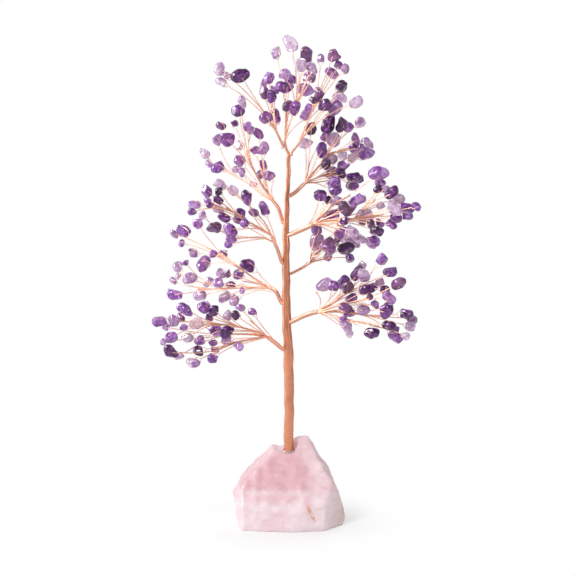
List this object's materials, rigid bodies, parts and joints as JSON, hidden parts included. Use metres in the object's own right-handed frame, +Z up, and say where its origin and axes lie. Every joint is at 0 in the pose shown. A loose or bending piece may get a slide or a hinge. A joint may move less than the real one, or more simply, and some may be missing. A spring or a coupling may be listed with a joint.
{
  "type": "gemstone tree ornament",
  "caption": "Wire tree with amethyst chip leaves on twisted copper branches, glued into a rough rose quartz base.",
  "frame": {"origin": "on the base stone's flat underside, straight below the middle of the trunk's foot", "axes": "+Z up along the trunk, +X to the right as seen from the front, -Y to the front"},
  "size_m": [0.149, 0.0894, 0.2802],
  "materials": {
    "rose_quartz": "broken and tumbled rose quartz, slightly clear",
    "glue": "clear hard glue",
    "trunk_wire": "bare copper wire, twisted in a bundle",
    "branch_wire": "bare copper wire, twisted in a bundle",
    "twig_wire": "bare copper wire, twisted in pairs",
    "deep_amethyst": "tumbled amethyst, deep violet",
    "mid_amethyst": "tumbled amethyst, middle violet",
    "pale_amethyst": "tumbled amethyst, pale and clear"
  },
  "bodies": {
    "trunk": {"base_glue": "glue", "base_stone": "rose_quartz", "top_left_spray_deep_stones": "deep_amethyst", "top_left_spray_mid_stones": "mid_amethyst", "top_left_spray_pale_stones": "pale_amethyst", "top_left_spray_stem": "branch_wire", "top_left_spray_twigs": "twig_wire", "top_middle_spray_deep_stones": "deep_amethyst", "top_middle_spray_mid_stones": "mid_amethyst", "top_middle_spray_pale_stones": "pale_amethyst", "top_middle_spray_stem": "branch_wire", "top_middle_spray_twigs": "twig_wire", "top_right_spray_deep_stones": "deep_amethyst", "top_right_spray_mid_stones": "mid_amethyst", "top_right_spray_pale_stones": "pale_amethyst", "top_right_spray_stem": "branch_wire", "top_right_spray_twigs": "twig_wire", "trunk_bundle": "trunk_wire"},
    "lower_left_branch": {"lower_left_branch_deep_stones": "deep_amethyst", "lower_left_branch_mid_stones": "mid_amethyst", "lower_left_branch_pale_stones": "pale_amethyst", "lower_left_branch_stem": "branch_wire", "lower_left_branch_twigs": "twig_wire"},
    "second_left_branch": {"second_left_branch_deep_stones": "deep_amethyst", "second_left_branch_mid_stones": "mid_amethyst", "second_left_branch_pale_stones": "pale_amethyst", "second_left_branch_stem": "branch_wire", "second_left_branch_twigs": "twig_wire"},
    "third_left_branch": {"third_left_branch_deep_stones": "deep_amethyst", "third_left_branch_mid_stones": "mid_amethyst", "third_left_branch_pale_stones": "pale_amethyst", "third_left_branch_stem": "branch_wire", "third_left_branch_twigs": "twig_wire"},
    "upper_left_branch": {"upper_left_branch_deep_stones": "deep_amethyst", "upper_left_branch_mid_stones": "mid_amethyst", "upper_left_branch_pale_stones": "pale_amethyst", "upper_left_branch_stem": "branch_wire", "upper_left_branch_twigs": "twig_wire"},
    "lower_right_branch": {"lower_right_branch_deep_stones": "deep_amethyst", "lower_right_branch_mid_stones": "mid_amethyst", "lower_right_branch_pale_stones": "pale_amethyst", "lower_right_branch_stem": "branch_wire", "lower_right_branch_twigs": "twig_wire"},
    "second_right_branch": {"second_right_branch_deep_stones": "deep_amethyst", "second_right_branch_mid_stones": "mid_amethyst", "second_right_branch_pale_stones": "pale_amethyst", "second_right_branch_stem": "branch_wire", "second_right_branch_twigs": "twig_wire"},
    "third_right_branch": {"third_right_branch_deep_stones": "deep_amethyst", "third_right_branch_mid_stones": "mid_amethyst", "third_right_branch_pale_stones": "pale_amethyst", "third_right_branch_stem": "branch_wire", "third_right_branch_twigs": "twig_wire"},
    "upper_right_branch": {"upper_right_branch_deep_stones": "deep_amethyst", "upper_right_branch_mid_stones": "mid_amethyst", "upper_right_branch_pale_stones": "pale_amethyst", "upper_right_branch_stem": "branch_wire", "upper_right_branch_twigs": "twig_wire"}
  },
  "joints": [
    {"name": "lower_left_branch_bend", "type": "hinge", "parent": "trunk", "child": "lower_left_branch", "pos_m": [-0.00318, -0.00135, 0.1015], "axis": [-0.4067, 0.9135, 0], "range_deg": [-6, 6]},
    {"name": "second_left_branch_bend", "type": "hinge", "parent": "trunk", "child": "second_left_branch", "pos_m": [-0.00398, 0.00118, 0.128], "axis": [0.4067, 0.9135, 0], "range_deg": [-6, 6]},
    {"name": "third_left_branch_bend", "type": "hinge", "parent": "trunk", "child": "third_left_branch", "pos_m": [-0.00375, -0.0012, 0.1515], "axis": [-0.454, 0.891, 0], "range_deg": [-6, 6]},
    {"name": "upper_left_branch_bend", "type": "hinge", "parent": "trunk", "child": "upper_left_branch", "pos_m": [-0.00325, 0.00093, 0.1744], "axis": [0.4384, 0.8988, 0], "range_deg": [-6, 6]},
    {"name": "lower_right_branch_bend", "type": "hinge", "parent": "trunk", "child": "lower_right_branch", "pos_m": [0.00189, -0.00117, 0.1175], "axis": [-0.3746, -0.9272, 0], "range_deg": [-6, 6]},
    {"name": "second_right_branch_bend", "type": "hinge", "parent": "trunk", "child": "second_right_branch", "pos_m": [0.00102, 0.00139, 0.1448], "axis": [0.5, -0.866, 0], "range_deg": [-6, 6]},
    {"name": "third_right_branch_bend", "type": "hinge", "parent": "trunk", "child": "third_right_branch", "pos_m": [0.00079, -0.00097, 0.1676], "axis": [-0.4067, -0.9135, 0], "range_deg": [-6, 6]},
    {"name": "upper_right_branch_bend", "type": "hinge", "parent": "trunk", "child": "upper_right_branch", "pos_m": [0.00101, 0.00081, 0.1898], "axis": [0.4384, -0.8988, 0], "range_deg": [-6, 6]}
  ]
}
